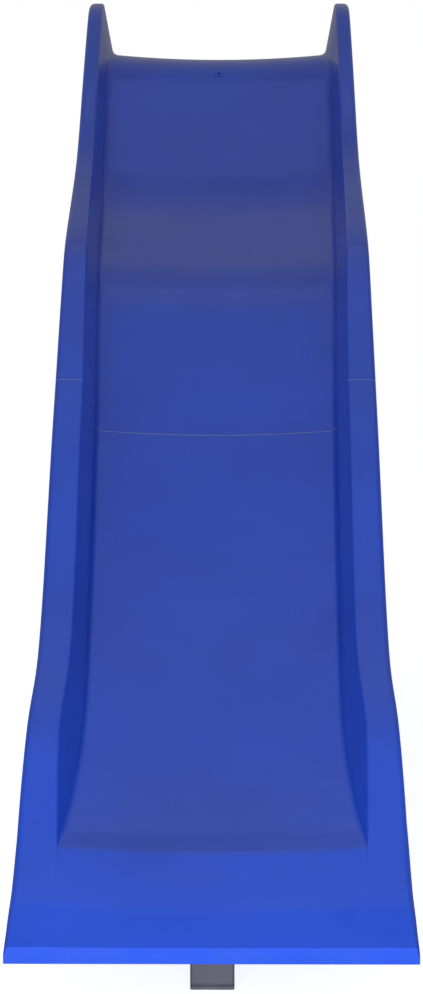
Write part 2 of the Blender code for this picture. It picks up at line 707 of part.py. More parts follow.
def head_plate():
    """The steel plate on the flume's rear bulkhead that the ladder hangs on."""
    width, height = HEAD_PLATE
    plate = box((width, PLATE, height), at(0, HEAD_PLATE_H, HEAD_PLATE_Z), None, "plate", bevel=0.001)
    for x, z in HEAD_BOLTS:
        cut(plate, hole(at(x, HEAD_PLATE_H, z), (0, 1, 0), THROUGH))
    for sign in (-1, 1):
        for spread in STRINGER_BOLT_SPREAD.values():
            x = sign * (STRINGER_X + spread)
            spot = at(x, HEAD_PLATE_H - PLATE / 2 - 0.0025, STRINGER_BOLT_Z)
            join(plate, rod(HEX_R, 0.007, spot, (0, 1, 0), "weld_nut", segments=6))
            cut(plate, hole(spot, (0, 1, 0), THROUGH))
    return finish(plate, "head_plate", (STEEL_GREY, 0.4, 0.45))


def stringer(side, sign):
    foot = at(sign * STRINGER_X, STRINGER_FOOT_H, 0.003)
    head = at(sign * STRINGER_X, *STRINGER_HEAD)
    lean = (head - foot).normalized()
    turn = Vector((0, 0, 1)).rotation_difference(lean).to_matrix()
    length = (head - foot).length
    width, height = FLANGE
    x = sign * STRINGER_X
    flange = box((width, PLATE, height), at(x, FLANGE_H, FLANGE_Z), None, "flange", bevel=0.001)
    tube = box((STRINGER_W, STRINGER_D, length + 0.06), (head + foot) / 2, turn, "stringer_tube", bevel=0.003)
    below = box((0.2, 0.3, 0.2), foot + Vector((0, 0, -0.1)), None, "stringer_floor")
    front = box((0.2, 0.1, 0.5), at(x, FLANGE_H - 0.05, 1.2), None, "stringer_front")
    over = box((0.2, 0.3, 0.2), at(x, STRINGER_HEAD[0], STRINGER_TOP + 0.1), None, "stringer_over")
    web = box(WEB, at(x, FLANGE_H + 0.022, WEB_Z), None, "stringer_web")
    cut(tube, below, front, over)
    inner_w = STRINGER_W - 2 * TUBE_WALL
    inner_d = STRINGER_D - 2 * TUBE_WALL
    bore = box((inner_w, inner_d, STRINGER_BORE), foot + lean * 0.50, turn, "stringer_bore")
    join(flange, tube, web, base_plate(sign * STRINGER_X, STRINGER_FOOT_H))
    cut(flange, bore)
    return flange, foot, lean


def tread_spot(foot, lean, z):
    return foot + lean * ((z - foot.z) / lean.z)


def ladder():
    for side, sign in (("left", -1), ("right", 1)):
        body, foot, lean = stringer(side, sign)
        for spread in STRINGER_BOLT_SPREAD.values():
            cut(body, hole(at(sign * (STRINGER_X + spread), FLANGE_H, STRINGER_BOLT_Z), (0, 1, 0), 0.02))
        for number in range(1, TREAD_COUNT + 1):
            spot = tread_spot(foot, lean, number * TREAD_RISE - TREAD_HEIGHT + WELD_NUT_Z)
            cut(body, hole(spot, (1, 0, 0), 0.06))
            start = spot + Vector((sign * (STRINGER_W / 2 + GAP), 0, 0))
            bolt(f"tread_{number}_bolt_{side}", start, (-sign, 0, 0), TREAD_BOLT)
        finish(body, f"stringer_{side}", (STEEL_GREY, 0.4, 0.45))
    middle = Vector((0, foot.y, foot.z))
    length = 2 * (STRINGER_X - STRINGER_W / 2 - GAP)
    for number in range(1, TREAD_COUNT + 1):
        tread = channel(length, TREAD_DEPTH, TREAD_HEIGHT)
        z = number * TREAD_RISE
        tread.location = tread_spot(middle, lean, z - TREAD_HEIGHT + WELD_NUT_Z)
        tread.location.z = z - TREAD_HEIGHT / 2
        finish(tread, f"tread_{number}", (STEEL_GREY, 0.4, 0.5))


def ladder_fasteners():
    rear = FLANGE_H + PLATE / 2 + GAP
    for side, sign in (("left", -1), ("right", 1)):
        for place_name, spread in STRINGER_BOLT_SPREAD.items():
            spot = at(sign * (STRINGER_X + spread), rear, STRINGER_BOLT_Z)
            bolt(f"stringer_bolt_{place_name}_{side}", spot, (0, -1, 0), STRINGER_BOLT)
    for number, (x, z) in enumerate(HEAD_BOLTS, 1):
        bolt(f"head_bolt_{number}", at(x, HEAD_PLATE_H + PLATE / 2 + GAP, z), (0, -1, 0), HEAD_BOLT)


# ---- Water feed -----------------------------------------------------------------------------------
def water_feed():
    spot, normal = bed_frame(NOZZLE_H, 0, 0)
    tail = FEED_DROP - 0.004
    profile = [(0.0, 0.0020), (0.0085, 0.0016), (0.0098, GAP), (NOZZLE_R, GAP), (NOZZLE_R, -tail),
               (0.0, -tail)]
    nozzle = turned(profile, spot, normal, "nozzle")
    cut(nozzle, rod(NOZZLE_BORE_R, 2 * FEED_DROP + 0.1, spot, normal, "nozzle_bore", segments=12))
    finish(nozzle, "inlet_nozzle", (BLUE, 0.0, 0.25))

    under, _ = bed_frame(NOZZLE_H, 0, WALL + LOCK_WASHER + LOCK_HEIGHT / 2)
    lock = rod(LOCK_R, LOCK_HEIGHT, under, normal, "nozzle_lock", segments=6)
    cut(lock, rod(NOZZLE_R + GAP, 0.02, under, normal, "lock_bore", segments=16))
    finish(lock, "nozzle_nut", (GREY_PLASTIC, 0.0, 0.5))

    centre, _ = bed_frame(NOZZLE_H, 0, FEED_DROP)
    elbow = rod(ELBOW_R, 0.040, centre + normal * 0.010, normal, "elbow")
    join(elbow, rod(ELBOW_R, 0.032, centre + Vector((0.016, 0, 0)), (1, 0, 0), "elbow_arm"))
    cut(elbow, rod(NOZZLE_R + GAP, 0.040, centre + normal * 0.0225, normal, "elbow_riser_bore"))
    cut(elbow, rod(PIPE_R + GAP, 0.030, centre + Vector((0.0305, 0, 0)), (1, 0, 0), "elbow_arm_bore"))
    cut(elbow, rod(PORT_R, 0.020, centre + Vector((0.008, 0, 0)), (1, 0, 0), "elbow_port"))
    finish(elbow, "feed_elbow", (GREY_PLASTIC, 0.0, 0.5))

    middle = centre + Vector(((PIPE_END + PIPE_START) / 2, 0, 0))
    pipe = rod(PIPE_R, PIPE_END - PIPE_START, middle, (1, 0, 0), "pipe")
    cut(pipe, rod(PIPE_BORE_R, 2 * PIPE_END, middle, (1, 0, 0), "pipe_bore"))
    finish(pipe, "feed_pipe", (GREY_PLASTIC, 0.0, 0.5))
    valve(centre)


def valve(centre):
    """A ball valve whose stem points to the rear, with its lever turned across the pipe."""
    hub = centre + Vector((VALVE_X, 0, 0))
    body = rod(VALVE_R, 0.034, hub, (1, 0, 0), "valve")
    for name, x in (("valve_inlet", -VALVE_HEX_X), ("valve_outlet", VALVE_HEX_X)):
        join(body, rod(VALVE_HEX_R, VALVE_HEX, hub + Vector((x, 0, 0)), (1, 0, 0), name, segments=6))
    join(body, rod(0.0075, 0.020, hub + Vector((0, 0.012, 0)), (0, 1, 0), "valve_neck"))
    join(body, rod(STEM_R, 0.034, hub + Vector((0, 0.018, 0)), (0, 1, 0), "valve_stem", segments=12))
    cut(body, rod(PIPE_R + GAP, 0.020, hub + Vector((-0.030, 0, 0)), (1, 0, 0), "valve_socket"))
    cut(body, rod(0.0058, 0.030, hub + Vector((-0.010, 0, 0)), (1, 0, 0), "valve_port"))
    cut(body, rod(0.0086, 0.020, hub + Vector((0.030, 0, 0)), (1, 0, 0), "valve_thread"))
    finish(body, "valve_body", (BRASS, 1.0, 0.3))

    pivot = hub + Vector((0, STEM_REACH, 0))
    arm = Vector((0, 0, -LEVER_LENGTH / 2 + 0.009))
    grip = Vector((0, 0.0045, -LEVER_LENGTH + 0.028))
    lever = box((LEVER_W, LEVER_T, LEVER_LENGTH), arm, None, "lever", bevel=0.0012)
    join(lever, box((0.013, 0.010, 0.045), grip, None, "grip", bevel=0.003))
    cut(lever, rod(STEM_R + GAP, 0.03, (0, 0, 0), (0, 1, 0), "lever_eye", segments=12))
    lever = bpy.data.objects.new("lever", baked(lever))
    lever.location = pivot
    finish(lever, "valve_lever", (RED, 0.0, 0.4))

    cap = rod(0.0065, 0.005, pivot + Vector((0, 0.0045, 0)), (0, 1, 0), "lever_cap", segments=6)
    cut(cap, rod(STEM_R + GAP, 0.03, pivot, (0, 1, 0), "cap_eye", segments=12))
    finish(cap, "lever_nut", (ZINC, 1.0, 0.35))

    base = hub + Vector((TAIL_X, 0, 0))
    profile = [(0.0, 0.052), (0.0070, 0.052), (0.0086, 0.046), (0.0076, 0.0455), (0.0090, 0.038),
               (0.0076, 0.0375), (0.0090, 0.030), (0.0076, 0.0295), (0.0076, 0.017), (0.0125, 0.017),
               (0.0125, 0.0100), (0.0082, 0.0100), (0.0082, 0.0), (0.0, 0.0)]
    tail = turned(profile, base, (1, 0, 0), "tail")
    cut(tail, rod(TAIL_BORE_R, 0.2, base, (1, 0, 0), "tail_bore", segments=12))
    finish(tail, "hose_tail", (BRASS, 1.0, 0.3))


# ---- Build ----------------------------------------------------------------------------------------
for old in list(bpy.data.objects):
    bpy.data.objects.remove(old)
PARTS = new_collection("pool_slide")
CUTTERS = new_collection("cutters")
CUTTERS.hide_render = True

lower_flume()
upper_flume()
seam_seal()
seam_fasteners()
front_saddle()
front_leg()
mid_frame()
head_plate()
ladder()
ladder_fasteners()
water_feed()
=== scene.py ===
"""Looks of a free-standing pool slide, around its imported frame. Metres, +Z up, the slide faces -Y."""

import json
from math import atan, cos, pi, radians, sin, tan

import bmesh
import bpy
from mathutils import Matrix, Vector


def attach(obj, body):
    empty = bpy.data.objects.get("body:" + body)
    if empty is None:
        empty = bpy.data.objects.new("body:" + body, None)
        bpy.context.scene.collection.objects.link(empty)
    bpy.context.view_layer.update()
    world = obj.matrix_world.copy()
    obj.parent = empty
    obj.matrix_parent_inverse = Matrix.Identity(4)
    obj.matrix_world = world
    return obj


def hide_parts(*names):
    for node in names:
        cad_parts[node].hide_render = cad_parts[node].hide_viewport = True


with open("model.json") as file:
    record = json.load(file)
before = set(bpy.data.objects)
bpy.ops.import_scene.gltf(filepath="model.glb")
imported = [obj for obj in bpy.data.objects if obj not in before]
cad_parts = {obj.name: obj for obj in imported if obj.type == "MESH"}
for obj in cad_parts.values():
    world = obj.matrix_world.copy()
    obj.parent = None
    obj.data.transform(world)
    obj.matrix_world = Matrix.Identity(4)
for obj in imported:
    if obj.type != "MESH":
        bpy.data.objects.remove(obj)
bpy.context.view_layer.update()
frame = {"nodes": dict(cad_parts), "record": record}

# ---- Overall layout -------------------------------------------------------------------------------
TOTAL_LENGTH = 2.600
LIP_Y = -TOTAL_LENGTH / 2
TOP_END = 2.170
SEAM = 0.904
SEAM_TILT = radians(34.5)
SEAM_GAP = 0.0026
STRIP_INSET = 0.0004
STRIP_CLEARANCE = 0.0006

# ---- Flume outlines along the slide: (h, value) ---------------------------------------------------
RAIL_TOP = [(-0.10, 0.015), (0.0, 0.107), (0.05, 0.152), (0.131, 0.208), (0.27, 0.325), (0.33, 0.359),
            (0.43, 0.405), (0.535, 0.466), (0.60, 0.515), (0.69, 0.589), (0.793, 0.672), (0.904, 0.749),
            (1.0, 0.819), (1.17, 0.938), (1.25, 0.966), (1.50, 1.040), (1.60, 1.077), (1.70, 1.130),
            (1.82, 1.205), (1.926, 1.266), (2.06, 1.338), (2.115, 1.350), (2.30, 1.352)]
BED_LINE = [(0.131, 0.199), (0.18, 0.212), (0.24, 0.233), (0.33, 0.271), (0.44, 0.328), (0.60, 0.413),
            (0.75, 0.502), (0.97, 0.653), (1.24, 0.846), (1.32, 0.884), (1.42, 0.914), (1.62, 0.976),
            (1.72, 1.022), (1.86, 1.116), (2.0, 1.219), (2.06, 1.242), (2.30, 1.242)]
TILT_DEG = [(0.0, 0.0), (0.131, 0.0), (0.35, 12.0), (0.60, 26.0), (0.84, 34.5), (0.97, 34.5), (1.10, 31.0),
            (1.25, 20.0), (1.50, 17.0), (1.70, 26.0), (1.90, 30.0), (2.05, 14.0), (2.12, 0.0), (2.3, 0.0)]
OUTER_HALF = [(0.0, 0.2665), (0.03, 0.2642), (0.10, 0.2616), (0.20, 0.2600), (0.335, 0.2553),
              (0.38, 0.2512), (0.45, 0.2500), (2.3, 0.2500)]
RAIL_INNER_HALF = [(0.0, 0.2075), (0.13, 0.2066), (0.21, 0.2103), (0.30, 0.2122), (0.37, 0.2061),
                   (0.45, 0.2030), (0.62, 0.2037), (0.90, 0.2061), (1.12, 0.2116), (1.50, 0.2196),
                   (1.73, 0.2224), (2.3, 0.2253)]
BED_HALF = [(0.0, 0.2060), (0.131, 0.2056), (0.153, 0.2035), (0.203, 0.1955), (0.263, 0.1895),
            (0.32, 0.1845), (0.39, 0.1812), (0.64, 0.1850), (0.96, 0.1900), (1.29, 0.1992), (1.75, 0.2081),
            (2.3, 0.2061)]
SKIRT_DEPTH = [(0.0, 0.022), (0.131, 0.062), (0.30, 0.105), (0.60, 0.148), (0.90, 0.162), (2.3, 0.155)]
DISH = [(0.0, 0.0005), (0.02, 0.001), (0.131, 0.008), (0.30, 0.010), (2.3, 0.010)]
APRON_STEP = [(0.0, 0.0004), (0.085, 0.0004), (0.131, 0.001)]
WALL = 0.0055
BULKHEAD = 0.006
DRAFT = 0.004
RIM_FLARE = 0.003
BED_FRACTIONS = (0.0, 0.1, 0.2, 0.3, 0.4, 0.5, 0.6, 0.7, 0.8, 0.87)
BED_FILLET = 0.014
INNER_FILLET = 0.007
OUTER_FILLET = 0.010
BED_FILLET_POINTS = 9
RAIL_FILLET_POINTS = 8
RIM_HEIGHT = 0.017

# ---- Stations of the sections, the same as h in the outlines --------------------------------------
FRONT_WALL = 0.0065
LIP_STATIONS = [0.0, 0.0008, 0.0025]
INNER_LIP_STATIONS = [FRONT_WALL, FRONT_WALL + 0.001, FRONT_WALL + 0.002]
RUN_OUT = 0.20
RUN_OUT_STEP = 0.006
LOOK_STEP = 0.011

# ---- Fasteners ------------------------------------------------------------------------------------
BOLT_R = 0.004
HOLE_R = 0.0045
FLANGE_R = 0.0095
FLANGE_T = 0.0016
HEX_R = 0.0075
HEX_T = 0.0055
HEX_POINTS = 48
HEAD_TOP = FLANGE_T / 2 + HEX_T
HEAD_TURNED = 0.86 * HEX_R
THREAD_PITCH = 0.0013
THREAD_DEPTH = 0.0005
SHANK_SIDES = 24
THROUGH = 0.04
BOSS_R = 0.013
BOSS_SINK = 0.0028
THREAD_COVER = 0.003
INSERT_R = 0.010
INSERT_LENGTH = 0.020
SEAM_BOLT_BED_X = 0.10
SEAM_BOLT_BED_DROP = 0.026
SEAM_BOLT_RAIL_X = 0.228
SEAM_BOLT_RAIL_DROP = 0.055
SADDLE_BOLT_X = 0.075
POST_H = 0.187
SADDLE_DEPTH = 0.022
MID_H = 1.42
MID_BOLT_X = 0.152
MID_DEPTH = 0.019
HEAD_BOLTS = [(x, 1.213) for x in (-0.155, -0.055, 0.055, 0.155)]
NOZZLE_H = 2.0
NOZZLE_R = 0.0062
NOZZLE_HOLE_R = NOZZLE_R + 0.0004

# ---- Steel frame ----------------------------------------------------------------------------------
LEG = 0.040
LEG_X = 0.200
MID_SHIFT = 0.024
BASE_T = 0.006
TUBE_FLOOR = 0.003
STRINGER_X = 0.215
STRINGER_W = 0.030
STRINGER_D = 0.050
STRINGER_FOOT_H = 2.545
STRINGER_HEAD = (2.208, 1.200)
EDGE_BEVEL = 0.0006
BEVEL_ANGLE = radians(40)

# ---- Weld beads and tread ribs --------------------------------------------------------------------
BEAD_R = 0.0026
BEAD_SWELL = 0.16
BEAD_STEP = 0.0007
BEAD_RIPPLE = 6
BEAD_SIDES = 8
BEAD_CORNER = 0.003
GRIP_ROWS = 3
GRIP_SPACING = 0.010
GRIP_R = 0.0016
GRIP_TIP_R = 0.0006
GRIP_SINK = 0.0003
GRIP_FLATNESS = 0.6
GRIP_END = 0.012
GRIP_STATIONS = 24
GRIP_SIDES = 12

# ---- Camera ---------------------------------------------------------------------------------------
CAMERA_DISTANCE = 3.753
CAMERA_HEIGHT = 1.243
CAMERA_X = 0.026
CAMERA_PITCH = radians(8.3)
FOCAL_PIXELS = 3000
LONG_SIDE = 994
SENSOR = 36.0

# ---- Light ----------------------------------------------------------------------------------------
FLOOR_GLOW = 0.80
FLOOR_RADIUS = 40.0
SKY_TOP = 0.254
SKY_FRONT = 0.20
SKY_BACK = 0.214
# Each light: name, location, target, size and power.
LIGHTS = [("low_front", (0, LIP_Y - 1.7, 0.35), (0, LIP_Y + 0.1, 0.15), (1.6, 0.4), 20.5),
          ("high_front", (-0.6, LIP_Y - 3.4, 1.9), (0, LIP_Y + 0.6, 0.5), (1.8, 1.4), 36.6),
          ("overhead", (0, 0, 3.2), (0, 0, 0.8), (3.0, 3.0), 5.2)]


# ---- Node helpers ---------------------------------------------------------------------------------
def feed(tree, socket, source):
    """Link source into the socket, or hold it there when it is a constant."""
    if isinstance(source, bpy.types.NodeSocket):
        tree.links.new(source, socket)
    else:
        socket.default_value = source


def math_node(tree, operation, first, second=0.0):
    node = tree.nodes.new("ShaderNodeMath")
    node.operation = operation
    feed(tree, node.inputs[0], first)
    feed(tree, node.inputs[1], second)
    return node.outputs[0]


class Nodes:
    """A short way to wire a material's nodes."""

    def __init__(self, name):
        self.material = bpy.data.materials.new(name)
        self.material.use_nodes = True
        self.tree = self.material.node_tree
        self.shader = self.tree.nodes["Principled BSDF"]
        self.coords = self.tree.nodes.new("ShaderNodeTexCoord").outputs["Object"]

    def put(self, kind, inputs):
        node = self.tree.nodes.new(kind)
        for socket, source in inputs.items():
            feed(self.tree, node.inputs[socket], source)
        return node

    def noise(self, scale, detail=3.0, roughness=0.5, vector=None):
        node = self.put("ShaderNodeTexNoise", {"Vector": vector or self.coords, "Scale": scale,
                                               "Detail": detail, "Roughness": roughness})
        return node.outputs["Fac"]

    def stretched(self, scale):
        return self.put("ShaderNodeMapping", {"Vector": self.coords, "Scale": scale}).outputs["Vector"]

    def ramp(self, source, low, high, start=0.0, end=1.0):
        """source between start and end, mapped to low and high and held there beyond them."""
        node = self.put("ShaderNodeMapRange", {"Value": source, "From Min": start, "From Max": end,
                                               "To Min": low, "To Max": high})
        return node.outputs["Result"]

    def mix(self, factor, first, second, blend="MIX"):
        node = self.tree.nodes.new("ShaderNodeMix")
        node.data_type = "RGBA"
        node.blend_type = blend
        for socket, source in ((0, factor), (6, first), (7, second)):
            feed(self.tree, node.inputs[socket], source)
        return node.outputs[2]

    def math(self, operation, first, second=0.0):
        return math_node(self.tree, operation, first, second)

    def bump(self, height, strength, distance, normal=None):
        inputs = {"Height": height, "Strength": strength, "Distance": distance}
        if normal is not None:
            inputs["Normal"] = normal
        return self.put("ShaderNodeBump", inputs).outputs["Normal"]

    def surface(self, color, roughness, metallic=0.0, normal=None, **constants):
        feed(self.tree, self.shader.inputs["Base Color"], color)
        feed(self.tree, self.shader.inputs["Roughness"], roughness)
        if normal is not None:
            feed(self.tree, self.shader.inputs["Normal"], normal)
        self.shader.inputs["Metallic"].default_value = metallic
        for socket, constant in constants.items():
            self.shader.inputs[socket.replace("_", " ")].default_value = constant
        return self.material


def rgba(red, green, blue):
    return (red, green, blue, 1.0)


def toned(tone, factor):
    return rgba(*(factor * channel for channel in tone))


# ---- Materials ------------------------------------------------------------------------------------
def moulded_blue():
    """Glossy moulded plastic: faint pigment clouds, a gentle orange peel and hairline scuffs."""
    n = Nodes("moulded_blue")
    clouds = n.noise(5.0, 4.0, 0.6)
    specks = n.noise(420.0, 2.0, 0.7)
    color = n.mix(n.ramp(clouds, 0.0, 1.0, 0.35, 0.65), rgba(0.0125, 0.069, 0.585),
                  rgba(0.0150, 0.080, 0.655))
    color = n.mix(n.ramp(specks, 0.0, 0.35, 0.60, 0.78), color, rgba(0.022, 0.10, 0.70))
    scuffs = n.noise(1.0, 2.0, 0.5, n.stretched((900.0, 14.0, 40.0)))
    scuff_mask = n.ramp(n.noise(7.0, 3.0), 0.0, 1.0, 0.52, 0.66)
    scuff = n.math("MULTIPLY", n.ramp(scuffs, 0.0, 1.0, 0.66, 0.72), scuff_mask)
    rough = n.math("ADD", n.ramp(n.noise(24.0, 4.0), 0.17, 0.25, 0.3, 0.7), n.math("MULTIPLY", scuff, 0.10))
    peel = n.bump(n.noise(260.0, 2.0, 0.5), 0.10, 0.0006)
    wave = n.bump(n.noise(9.0, 2.0, 0.4), 0.25, 0.0020, peel)
    normal = n.bump(scuff, 0.15, 0.0002, wave)
    return n.surface(color, rough, normal=normal, IOR=1.50, Coat_Weight=0.25, Coat_Roughness=0.06)


def powder_coat(name, tone):
    """Fine orange-peel powder coat on steel."""
    n = Nodes(name)
    drift = n.noise(12.0, 3.0)
    color = n.mix(n.ramp(drift, 0.0, 1.0, 0.3, 0.7), toned(tone, 0.88), toned(tone, 1.10))
    grime = n.noise(60.0, 5.0, 0.65)
    color = n.mix(n.ramp(grime, 0.0, 0.25, 0.56, 0.75), color, toned(tone, 0.7))
    rough = n.ramp(n.noise(90.0, 3.0), 0.36, 0.52, 0.3, 0.7)
    normal = n.bump(n.noise(900.0, 2.0, 0.6), 0.22, 0.0004)
    return n.surface(color, rough, 0.0, normal, IOR=1.5, Coat_Weight=0.1, Coat_Roughness=0.25)


def zinc_plate():
    n = Nodes("zinc_plate")
    cells = n.put("ShaderNodeTexVoronoi", {"Vector": n.coords, "Scale": 380.0}).outputs["Color"]
    color = n.mix(0.18, rgba(0.56, 0.57, 0.58), cells, "OVERLAY")
    color = n.mix(n.ramp(n.noise(160.0, 4.0), 0.0, 0.35, 0.5, 0.75), color, rgba(0.36, 0.36, 0.35))
    rough = n.ramp(n.noise(300.0, 3.0), 0.26, 0.46, 0.3, 0.7)
    normal = n.bump(n.noise(1400.0, 2.0), 0.15, 0.0002)
    return n.surface(color, rough, 1.0, normal)


def machined_brass():
    n = Nodes("machined_brass")
    lathe = n.noise(1.0, 2.0, 0.5, n.stretched((4000.0, 60.0, 60.0)))
    tarnish = n.noise(70.0, 4.0, 0.6)
    color = n.mix(n.ramp(tarnish, 0.0, 0.7, 0.45, 0.75), rgba(0.70, 0.49, 0.18), rgba(0.40, 0.25, 0.10))
    rough = n.ramp(n.noise(140.0, 3.0), 0.22, 0.42, 0.3, 0.7)
    return n.surface(color, rough, 1.0, n.bump(lathe, 0.25, 0.0002))


def vinyl_red():
    n = Nodes("vinyl_red")
    drift = n.ramp(n.noise(90.0, 3.0), 0.0, 1.0, 0.35, 0.7)
    color = n.mix(drift, rgba(0.50, 0.022, 0.014), rgba(0.62, 0.035, 0.022))
    rough = n.ramp(n.noise(220.0, 3.0), 0.30, 0.44, 0.3, 0.7)
    return n.surface(color, rough, 0.0, n.bump(n.noise(700.0, 2.0), 0.2, 0.0003), IOR=1.5)


def plain_plastic(name, tone, low, high):
    """Textured moulded plastic."""
    n = Nodes(name)
    drift = n.ramp(n.noise(40.0, 3.0), 0.0, 1.0, 0.3, 0.7)
    color = n.mix(drift, toned(tone, 0.85), toned(tone, 1.15))
    rough = n.ramp(n.noise(200.0, 3.0), low, high, 0.3, 0.7)
    return n.surface(color, rough, 0.0, n.bump(n.noise(1200.0, 2.0, 0.6), 0.3, 0.0003), IOR=1.48)


def seal_rubber():
    n = Nodes("seal_rubber")
    drift = n.ramp(n.noise(50.0, 4.0), 0.0, 1.0, 0.35, 0.7)
    color = n.mix(drift, rgba(0.16, 0.22, 0.46), rgba(0.22, 0.28, 0.54))
    rough = n.ramp(n.noise(300.0, 3.0), 0.55, 0.75, 0.3, 0.7)
    return n.surface(color, rough, 0.0, n.bump(n.noise(900.0, 2.0), 0.3, 0.0002))


BLUE = moulded_blue()
FRAME_GREY = powder_coat("frame_grey", (0.088, 0.095, 0.108))
TREAD_GREY = powder_coat("tread_grey", (0.105, 0.110, 0.120))
ZINC = zinc_plate()
BRASS = machined_brass()
RED = vinyl_red()
BLACK = plain_plastic("plug_black", (0.018, 0.018, 0.020), 0.40, 0.60)
CAP_GREY = plain_plastic("cap_grey", (0.085, 0.092, 0.105), 0.42, 0.60)
PIPE_GREY = plain_plastic("pipe_grey", (0.11, 0.115, 0.125), 0.30, 0.48)
SEAL = seal_rubber()
NODE_LOOKS = {"frame_grey": FRAME_GREY, "tread_grey": TREAD_GREY, "zinc_steel": ZINC, "brass_fitting": BRASS,
              "lever_red": RED, "plug_black": BLACK, "cap_grey": CAP_GREY, "feed_plastic": PIPE_GREY,
              "nozzle_blue": BLUE, "flume_blue": BLUE, "seal_rubber": SEAL}


# ---- Geometry helpers -----------------------------------------------------------------------------
BOOLEAN_TOOLS = []
SHARP_ANGLE = radians(30)
ROD_SIDES = 32


def from_bmesh(bm, name, location=(0, 0, 0), rotation=None):
    mesh = bpy.data.meshes.new(name)
    bmesh.ops.recalc_face_normals(bm, faces=bm.faces)
    bm.to_mesh(mesh)
    bm.free()
    obj = bpy.data.objects.new(name, mesh)
    obj.location = location
    if rotation is not None:
        obj.rotation_euler = rotation.to_euler()
    bpy.context.scene.collection.objects.link(obj)
    return obj


def rod(radius, length, location, axis):
    bm = bmesh.new()
    bmesh.ops.create_cone(bm, cap_ends=True, segments=ROD_SIDES, radius1=radius, radius2=radius,
                          depth=length)
    turn = Vector((0, 0, 1)).rotation_difference(Vector(axis)).to_matrix()
    return from_bmesh(bm, "rod", location, turn)


def combine(obj, tool, operation):
    modifier = obj.modifiers.new("join", "BOOLEAN")
    modifier.operation = operation
    modifier.solver = "EXACT"
    modifier.object = tool
    BOOLEAN_TOOLS.append(tool)


def baked(obj):
    """The mesh of obj in world space with its modifiers applied; obj and its tools are removed."""
    bpy.context.view_layer.update()
    mesh = bpy.data.meshes.new_from_object(obj.evaluated_get(bpy.context.evaluated_depsgraph_get()))
    mesh.transform(obj.matrix_world)
    bpy.data.objects.remove(obj)
    for tool in BOOLEAN_TOOLS:
        bpy.data.objects.remove(tool)
    BOOLEAN_TOOLS.clear()
    return mesh


def visible(name, mesh, material):
    """An object that shows mesh in material."""
    mesh.materials.clear()
    mesh.materials.append(material)
    mesh.shade_smooth()
    obj = bpy.data.objects.new(name, mesh)
    bpy.context.scene.collection.objects.link(obj)
    return obj


def piece(name, mesh, material, replaced):
    """A visible piece in the row frame that stands for the CAD node called replaced."""
    obj = visible(name, mesh, material)
    mesh.set_sharp_from_angle(angle=SHARP_ANGLE)
    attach(obj, "slide")
    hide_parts(replaced)
    return obj


def extra(name, mesh, material):
    """A visible piece that adds to the CAD solids and replaces none."""
    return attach(visible(name, mesh, material), "slide")


def at(x, h, z):
    return Vector((x, LIP_Y + h, z))


# ---- Flume outline --------------------------------------------------------------------------------
def value(table, h):
    for (h0, v0), (h1, v1) in zip(table, table[1:]):
        if h <= h1:
            break
    share = min(max((h - h0) / (h1 - h0), 0.0), 1.0)
    return v0 + (v1 - v0) * share


def eased(table, h, reach=0.05):
    """The outline at h, averaged over a short stretch so that its corners turn into bends."""
    total = 0.0
    weights = 0.0
    for step in range(-5, 6):
        weight = 6 - abs(step)
        total += weight * value(table, h + reach * step / 5)
        weights += weight
    return total / weights


def reach_at(h):
    """Bends are tight on the apron and broad along the run."""
    return min(max(0.35 * (h - 0.10), 0.008), 0.055)


def rail_z(h):
    return eased(RAIL_TOP, h, min(max(0.4 * h, 0.0001), 0.055))


def bed_z(h):
    if h <= 0.131:
        return rail_z(h) - value(APRON_STEP, h) - value(DISH, h)
    return eased(BED_LINE, h, min(0.055, 0.6 * (h - 0.131), max(0.6 * (TOP_END - h), 0.02)))


def bed_slope(h):
    return (bed_z(h + 0.004) - bed_z(h - 0.004)) / 0.008


def bed_frame(h, x, depth):
    """A point under the bed by depth along its normal, with that normal."""
    slope = bed_slope(h)
    normal = Vector((0, -slope, 1)).normalized()
    dish = value(DISH, h) * (x / value(BED_HALF, h)) ** 2
    return at(x, h, bed_z(h) + dish) - normal * depth, normal


def rail_height(h, up):
    """How far the bed's centre lies below the rail top, along the section's own up direction."""
    low, high = 0.0, 0.25
    for _ in range(40):
        middle = (low + high) / 2
        if rail_z(h) - middle * up[1] > bed_z(h - middle * up[0]):
            low = middle
        else:
            high = middle
    return (low + high) / 2


def fillet(before, corner, after, radius, count):
    """Points on the arc that rounds a corner of the section."""
    before, corner, after = Vector(before), Vector(corner), Vector(after)
    back = before - corner
    ahead = after - corner
    half = back.angle(ahead) / 2
    trim = min(radius / tan(half), 0.45 * back.length, 0.45 * ahead.length)
    start = corner + back.normalized() * trim
    end = corner + ahead.normalized() * trim
    points = []
    for step in range(count):
        t = step / (count - 1)
        points.append(start * (1 - t) ** 2 + corner * 2 * t * (1 - t) + end * t * t)
    return points


def inset(points, distance):
    """The same outline moved inwards by distance, corners mitred."""
    moved = []
    for i, point in enumerate(points):
        before = points[i - 1] if i else Vector((-points[1].x, points[1].y))
        after = points[i + 1] if i + 1 < len(points) else point + (point - before)
        run = ((point - before).normalized() + (after - point).normalized()).normalized()
        lean = max(run.dot((after - point).normalized()), 0.5)
        moved.append(point + Vector((run.y, -run.x)) * distance / lean)
    moved[0].x = 0.0
    return moved


